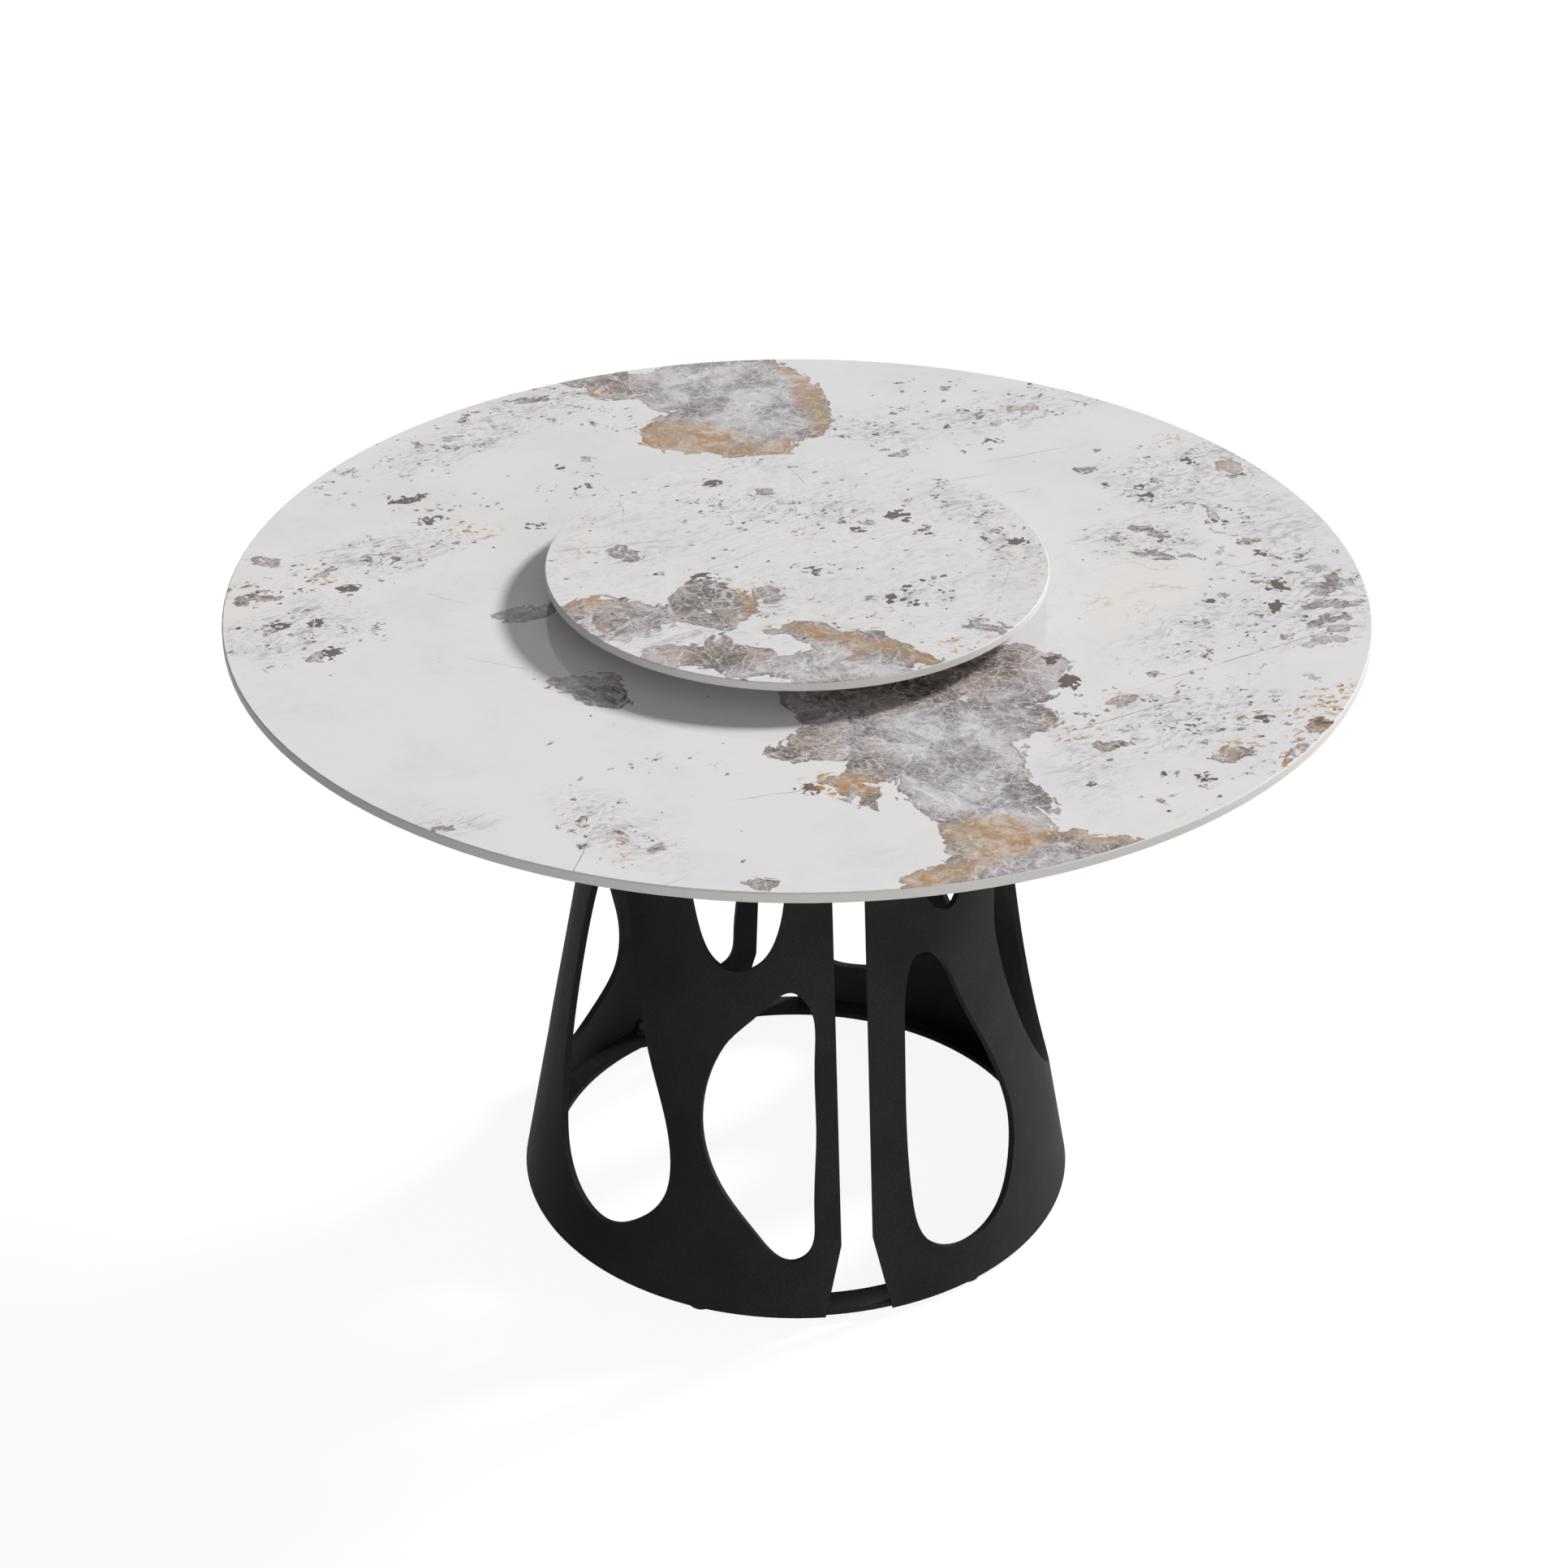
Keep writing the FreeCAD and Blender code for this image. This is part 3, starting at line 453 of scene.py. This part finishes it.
# %% Polished sintered stone
def sintered_stone(name, face_level, layout):
    """Stone with a printed and polished face at one height, and a ground rim below it."""
    material, tree, place = new_material(name)
    flat = add(tree, VECTOR, {0: place, 1: (1, 1, 0)}, operation="MULTIPLY")
    colour = stone_ground(tree, flat, layout)
    colour = stone_patches(tree, flat, colour, layout)
    colour = stone_flakes(tree, flat, colour, layout)
    height = add(tree, "ShaderNodeSeparateXYZ", {0: place}, "Z")
    printed = add(tree, RANGE, {0: height, 1: face_level - 0.6 * MM, 2: face_level - 0.2 * MM})
    grain = add(tree, NOISE, {"Vector": place, "Scale": per(3), "Detail": 3})
    body = add(tree, MIX, {0: grain, 6: linear("cdcac7"), 7: linear("d6d4d1")}, **COLOUR)
    colour = laid_on(tree, body, colour, 1.0, printed)
    polish = add(tree, NOISE, {"Vector": flat, "Scale": per(35), "Detail": 4})
    polish = add(tree, RANGE, {0: polish, 1: 0.3, 2: 0.7, 3: 0.03, 4: 0.07})
    gloss = add(tree, MIX, {0: printed, 2: 0.45, 3: polish})
    finish(tree, add(tree, PRINCIPLED, {"Base Color": colour, "Roughness": gloss, "IOR": 1.5,
                                        "Specular IOR Level": 0.32}))
    print(name, "has", len(tree.nodes), "nodes")
    return material


dress(sintered_stone("polished_sintered_stone_top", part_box("stone_top")[1][2], TOP_LAYOUT), "stone_top")
dress(sintered_stone("polished_sintered_stone_turntable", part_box("turntable_disc")[1][2], DISC_LAYOUT),
      "turntable_disc")

# %% [markdown]
# The base is rolled steel plate, laser-cut and powder-coated in a fine-textured black. The powder melts
# into a skin with tiny bumps, so it looks matte from the front and has a soft sheen at grazing
# angles. A flat black would look like a hole in the picture, so the colour is a little cloudy, and a grain
# drawn at 2.4 mm (the real one, below 1 mm, would not show) breaks up the sheen. The skin also rounds
# the sharp edges of the cuts: a Bevel node bends the light there as a radius of 1.2 mm would, and
# leaves the mesh as the CAD made it.

# %% Black powder coat
black_coat, tree, place = new_material("black_powder_coated_steel")
grain = add(tree, NOISE, {"Vector": place, "Scale": per(2.4), "Detail": 3, "Roughness": 0.6})
drift = add(tree, NOISE, {"Vector": place, "Scale": per(90), "Detail": 4, "Roughness": 0.55})
mottle = add(tree, MATH, {0: grain, 1: drift}, operation="MULTIPLY")
shade = add(tree, RANGE, {0: mottle, 1: 0.15, 2: 0.36})
coat_colour = add(tree, MIX, {0: shade, 6: linear("2a2a2b"), 7: linear("343435")}, **COLOUR)
coat_rough = add(tree, RANGE, {0: grain, 1: 0.3, 2: 0.7, 3: 0.52, 4: 0.66})
soft_edge = add(tree, "ShaderNodeBevel", {"Radius": 1.2 * MM}, samples=4)
bumps = add(tree, BUMP, {"Height": grain, "Strength": 0.12, "Distance": 0.2 * MM, "Normal": soft_edge})
finish(tree, add(tree, PRINCIPLED, {"Base Color": coat_colour, "Roughness": coat_rough, "Normal": bumps,
                                    "Specular IOR Level": 0.02, "IOR": 1.5}))
dress(black_coat, "left_panel", "right_panel", "bottom_ring", "top_plate", "foot_nuts")

# %% [markdown]
# The board under the stone is birch plywood: on its faces a pale veneer with long, faint grain, and along
# its edge the plies, 1.5 mm each, in turn light and dark. The direction of the face decides which of
# the two shows. A lacquer leaves a satin surface.

# %% Birch plywood
PLY = 1.5
plywood, tree, place = new_material("birch_plywood_lacquered")
stretched = add(tree, MAPPING, {"Vector": place, "Scale": (0.06, 1, 1)})
fibre = add(tree, NOISE, {"Vector": stretched, "Scale": per(6), "Detail": 6, "Roughness": 0.62,
                          "Distortion": 0.4})
fibre = add(tree, RANGE, {0: fibre, 1: 0.3, 2: 0.7})
veneer = add(tree, MIX, {0: fibre, 6: linear("b8946a"), 7: linear("d9bd94")}, **COLOUR)
plies = add(tree, WAVE, {"Vector": place, "Scale": bands_per(2 * PLY), "Distortion": 0.3}, 1,
            bands_direction="Z")
plies = add(tree, RANGE, {0: plies, 1: 0.4, 2: 0.6})
edge_wood = add(tree, MIX, {0: plies, 6: linear("8a6540"), 7: linear("cfae82")}, **COLOUR)
facing = add(tree, "ShaderNodeSeparateXYZ", {0: add(tree, "ShaderNodeNewGeometry", {}, "Normal")}, "Z")
facing = add(tree, MATH, {0: facing}, operation="ABSOLUTE")
level_face = add(tree, RANGE, {0: facing, 1: 0.85, 2: 0.95})
wood = add(tree, MIX, {0: level_face, 6: edge_wood, 7: veneer}, **COLOUR)
pores = add(tree, BUMP, {"Height": fibre, "Strength": 0.15, "Distance": 0.2 * MM})
wood_rough = add(tree, RANGE, {0: fibre, 1: 0, 2: 1, 3: 0.42, 4: 0.55})
finish(tree, add(tree, PRINCIPLED, {"Base Color": wood, "Roughness": wood_rough, "Normal": pores,
                                    "IOR": 1.5}))
dress(plywood, "backing_board")

# %% [markdown]
# The bolts and washers under the board are zinc-plated steel: a bright, slightly cold grey with cloudy
# patches from the bath. The screw threads are a repeat of bumps along the length, with a pitch of
# 1.25 mm, because that is the standard pitch of an 8 mm thread. The washers are smooth.

# %% Zinc-plated steel
THREAD_PITCH = 1.25


def zinc_plate(name, thread_height):
    """Bright zinc, with a thread where its height isn't zero."""
    material, tree, place = new_material(name)
    cloud = add(tree, NOISE, {"Vector": place, "Scale": per(4), "Detail": 4, "Roughness": 0.6})
    metal = add(tree, MIX, {0: cloud, 6: linear("b4b7bb"), 7: linear("d3d5d7")}, **COLOUR)
    rough = add(tree, RANGE, {0: cloud, 1: 0.3, 2: 0.7, 3: 0.24, 4: 0.40})
    ridges = add(tree, WAVE, {"Vector": place, "Scale": bands_per(THREAD_PITCH)}, 1, bands_direction="Z")
    thread = add(tree, BUMP, {"Height": ridges, "Strength": thread_height, "Distance": 0.6 * MM})
    finish(tree, add(tree, PRINCIPLED, {"Base Color": metal, "Roughness": rough, "Metallic": 1,
                                        "Normal": thread}))
    return material


dress(zinc_plate("zinc_plated_threaded_steel", 0.8), "top_bolts")
dress(zinc_plate("zinc_plated_steel", 0.0), "top_washers")

# %% [markdown]
# The studs of the levelling feet stand inside the base, where bright metal would catch the eye, so
# they are blackened: a skin of black oxide with a film of oil, dark grey and satin. They have the same
# 8 mm thread as the bolts.

# %% Black oxide steel
feet = range(1, 7)
blackened, tree, place = new_material("black_oxide_steel_oiled")
oil = add(tree, NOISE, {"Vector": place, "Scale": per(5), "Detail": 4, "Roughness": 0.6})
skin = add(tree, MIX, {0: oil, 6: linear("232324"), 7: linear("343436")}, **COLOUR)
rough = add(tree, RANGE, {0: oil, 1: 0.3, 2: 0.7, 3: 0.34, 4: 0.50})
ridges = add(tree, WAVE, {"Vector": place, "Scale": bands_per(THREAD_PITCH)}, 1, bands_direction="Z")
thread = add(tree, BUMP, {"Height": ridges, "Strength": 0.8, "Distance": 0.6 * MM})
finish(tree, add(tree, PRINCIPLED, {"Base Color": skin, "Roughness": rough, "Normal": thread, "IOR": 1.5}))
dress(blackened, *[f"foot_stud_{number}" for number in feet])

# %% [markdown]
# The bearing's two rings are turned from aluminium: the tool leaves fine rings about the axis, drawn here
# 1.2 mm apart. The distance from the axis gives them. The threaded inserts are plain brass, turned
# in the same way but too small to show it, so they only get a slight tarnish.

# %% Turned aluminium and brass
aluminium, tree, place = new_material("turned_aluminium")
level = add(tree, VECTOR, {0: place, 1: (1, 1, 0)}, operation="MULTIPLY")
from_axis = add(tree, VECTOR, {0: level}, "Value", operation="LENGTH")
tool_marks = add(tree, MATH, {0: from_axis, 1: math.tau / (1.2 * MM)}, operation="MULTIPLY")
tool_marks = add(tree, MATH, {0: tool_marks}, operation="SINE")
haze = add(tree, NOISE, {"Vector": place, "Scale": per(20), "Detail": 4})
metal = add(tree, MIX, {0: haze, 6: linear("c4c6c8"), 7: linear("dcdddd")}, **COLOUR)
rough = add(tree, RANGE, {0: haze, 1: 0.3, 2: 0.7, 3: 0.28, 4: 0.42})
grooves = add(tree, BUMP, {"Height": tool_marks, "Strength": 0.25, "Distance": 0.05 * MM})
finish(tree, add(tree, PRINCIPLED, {"Base Color": metal, "Roughness": rough, "Metallic": 1,
                                    "Normal": grooves}))
dress(aluminium, "bearing_upper_ring", "bearing_lower_ring")

brass, tree, place = new_material("turned_brass")
tarnish = add(tree, NOISE, {"Vector": place, "Scale": per(3), "Detail": 5})
metal = add(tree, MIX, {0: tarnish, 6: linear("b08d4c"), 7: linear("dcc07a")}, **COLOUR)
rough = add(tree, RANGE, {0: tarnish, 1: 0.3, 2: 0.7, 3: 0.22, 4: 0.38})
finish(tree, add(tree, PRINCIPLED, {"Base Color": metal, "Roughness": rough, "Metallic": 1}))
dress(brass, "threaded_inserts")

# %% [markdown]
# Bearing balls are ground and lapped steel, close to a mirror, with a thin film of grease that dulls them
# in places. Their cage is natural nylon, moulded, so it is milky and satin.

# %% Bearing steel and nylon
ball_steel, tree, place = new_material("lapped_bearing_steel")
grease = add(tree, NOISE, {"Vector": place, "Scale": per(3), "Detail": 3})
metal = add(tree, MIX, {0: grease, 6: linear("c9cacc"), 7: linear("e2e3e4")}, **COLOUR)
rough = add(tree, RANGE, {0: grease, 1: 0.4, 2: 0.7, 3: 0.06, 4: 0.22})
finish(tree, add(tree, PRINCIPLED, {"Base Color": metal, "Roughness": rough, "Metallic": 1}))
dress(ball_steel, "bearing_balls")

nylon, tree, place = new_material("moulded_natural_nylon")
flow = add(tree, NOISE, {"Vector": place, "Scale": per(8), "Detail": 3})
milk = add(tree, MIX, {0: flow, 6: linear("dcd7c6"), 7: linear("ebe7da")}, **COLOUR)
rough = add(tree, RANGE, {0: flow, 1: 0.3, 2: 0.7, 3: 0.38, 4: 0.50})
finish(tree, add(tree, PRINCIPLED, {"Base Color": milk, "Roughness": rough, "IOR": 1.53}))
dress(nylon, "ball_cage")

# %% [markdown]
# Three soft or moulded pieces keep the table quiet. The pads under the turntable disc are cast silicone,
# milky and slightly see-through. The pads under the bearing are black rubber with a dusty, matte skin. The
# glides of the feet are moulded black plastic with a spark-eroded grain, drawn at 1.2 mm.

# %% Silicone, rubber and plastic
silicone, tree, place = new_material("cast_clear_silicone")
flow = add(tree, NOISE, {"Vector": place, "Scale": per(6), "Detail": 3})
milk = add(tree, MIX, {0: flow, 6: linear("d2d3d0"), 7: linear("e4e5e3")}, **COLOUR)
rough = add(tree, RANGE, {0: flow, 1: 0.3, 2: 0.7, 3: 0.28, 4: 0.42})
finish(tree, add(tree, PRINCIPLED, {"Base Color": milk, "Roughness": rough, "IOR": 1.41,
                                    "Transmission Weight": 0.35}))
dress(silicone, "disc_pads")

rubber, tree, place = new_material("black_rubber_sheet")
dust = add(tree, NOISE, {"Vector": place, "Scale": per(2), "Detail": 5, "Roughness": 0.7})
soot = add(tree, MIX, {0: dust, 6: linear("101010"), 7: linear("2b2a29")}, **COLOUR)
rough = add(tree, RANGE, {0: dust, 1: 0.3, 2: 0.7, 3: 0.72, 4: 0.90})
finish(tree, add(tree, PRINCIPLED, {"Base Color": soot, "Roughness": rough, "IOR": 1.5}))
dress(rubber, "base_pads")

glide, tree, place = new_material("moulded_black_polypropylene")
grain = add(tree, NOISE, {"Vector": place, "Scale": per(1.2), "Detail": 2})
shade = add(tree, MIX, {0: grain, 6: linear("131314"), 7: linear("1f1f20")}, **COLOUR)
rough = add(tree, RANGE, {0: grain, 1: 0.3, 2: 0.7, 3: 0.45, 4: 0.60})
pimples = add(tree, BUMP, {"Height": grain, "Strength": 0.2, "Distance": 0.1 * MM})
finish(tree, add(tree, PRINCIPLED, {"Base Color": shade, "Roughness": rough, "Normal": pimples,
                                    "Specular IOR Level": 0.2, "IOR": 1.49}))
dress(glide, *[f"foot_pad_{number}" for number in feet])

# %% [markdown]
# The table stands on a pale floor that runs out of the picture on all sides. The floor shows the
# camera a bright white with a light shadow, and gives the object ordinary white bounce light.
# Reflections see the same white floor and white room, so that metal does not mirror a dark void.

# %% Floor
FLOOR_HALF_WIDTH = 30
studio_mesh = bpy.data.meshes.new("studio_floor")
sheet = bmesh.new()
bmesh.ops.create_grid(sheet, x_segments=1, y_segments=1, size=FLOOR_HALF_WIDTH)
sheet.to_mesh(studio_mesh)
sheet.free()
studio_floor = bpy.data.objects.new("studio_floor", studio_mesh)
bpy.context.scene.collection.objects.link(studio_floor)


def seen_as_background(tree):
    """1 for what the camera, a mirror or glass sees, and 0 for light that only bounces."""
    rays = add(tree, "ShaderNodeLightPath", {}).node.outputs
    seen = add(tree, MATH, {0: rays["Is Camera Ray"], 1: rays["Is Glossy Ray"]}, operation="MAXIMUM")
    return add(tree, MATH, {0: seen, 1: rays["Is Transmission Ray"]}, operation="MAXIMUM")


paint, tree, place = new_material("white_studio_paint")
bounce = add(tree, "ShaderNodeBsdfDiffuse", {"Color": linear("a8a8a8")})
shadow = add(tree, "ShaderNodeBsdfDiffuse", {"Color": (0.13, 0.13, 0.13, 1)})
glow = add(tree, "ShaderNodeEmission", {"Strength": 0.91})
shown = add(tree, "ShaderNodeAddShader", {0: shadow, 1: glow})
finish(tree, add(tree, "ShaderNodeMixShader", {0: seen_as_background(tree), 1: bounce, 2: shown}))
studio_mesh.materials.append(paint)
print("floor", [round(side, 1) for side in studio_floor.dimensions], "m")

# %% [markdown]
# The room is white to the eye and to mirrors, with a strength of 1. As a lamp it is weak: it only lifts
# the shadows.

# %% Room
WHITE = (1, 1, 1, 1)
room = bpy.data.worlds.new("white_room")
bpy.context.scene.world = room
room.use_nodes = True
tree = room.node_tree
tree.nodes.clear()
fill = add(tree, "ShaderNodeBackground", {"Color": WHITE, "Strength": 0.19})
backdrop = add(tree, "ShaderNodeBackground", {"Color": WHITE, "Strength": 1.0})
walls = add(tree, "ShaderNodeMixShader", {0: seen_as_background(tree), 1: fill, 2: backdrop})
room_output = tree.nodes.new("ShaderNodeOutputWorld")
tree.links.new(walls, room_output.inputs["Surface"])
print("room is white to the camera, and its fill light is", fill.node.inputs["Strength"].default_value)

# %% [markdown]
# The shadow of the turntable falls to the front left, about twice as long as the disc is high. So the main
# light comes from the right, a little from behind, 30 degrees up. It lights the whole top evenly, as
# a large lamp far away does, so a Sun lamp with a wide disc stands in for it. A softbox in front
# keeps the rim of the slab and the face of the base from going dark. Polished stone would mirror each
# lamp as a burnt-out shape, from one side or another. A photographer turns the lamps until none shows,
# and here they are hidden from mirror rays, so that only the white room shines in the stone.

# %% Lamps
def lamp(name, kind, turn, place=(0, 0, 0), **settings):
    """A lamp that looks down at an angle: its turn is (tilt, 0, azimuth) in degrees."""
    light = bpy.data.lights.new(name, kind)
    for setting, value in settings.items():
        setattr(light, setting, value)
    stand = bpy.data.objects.new(name, light)
    stand.location = place
    stand.visible_glossy = False
    stand.rotation_euler = [math.radians(angle) for angle in turn]
    bpy.context.scene.collection.objects.link(stand)
    print(name, "of", settings.get("energy"))


lamp("main_light", "SUN", (60, 0, 117), (3, 1.5, 3), energy=4.2, angle=math.radians(9))
lamp("front_softbox", "AREA", (78, 0, 16), (1.3, -4.5, 1.5), energy=88, shape="RECTANGLE",
     size=3.0, size_y=2.0)

# %% [markdown]
# The camera stands where the photographer's stood. Its place, tilt and focal length follow from the two
# ellipses of the slabs and the cone of the base: 3.6 m away, 2.6 m up, looking 30.4 degrees down.

# %% Camera
camera_data = bpy.data.cameras.new("photo_camera")
camera_data.sensor_width = 36
camera_data.lens = 84.36
camera_data.clip_end = 100
camera = bpy.data.objects.new("photo_camera", camera_data)
bpy.context.scene.collection.objects.link(camera)
camera.location = (-0.5987, -3.5297, 2.6117)
camera.rotation_euler = (math.radians(59.62), 0, math.radians(-9.4))
bpy.context.scene.camera = camera
bpy.context.scene.view_settings.view_transform = "Standard"
print("camera lens", camera_data.lens, "mm")
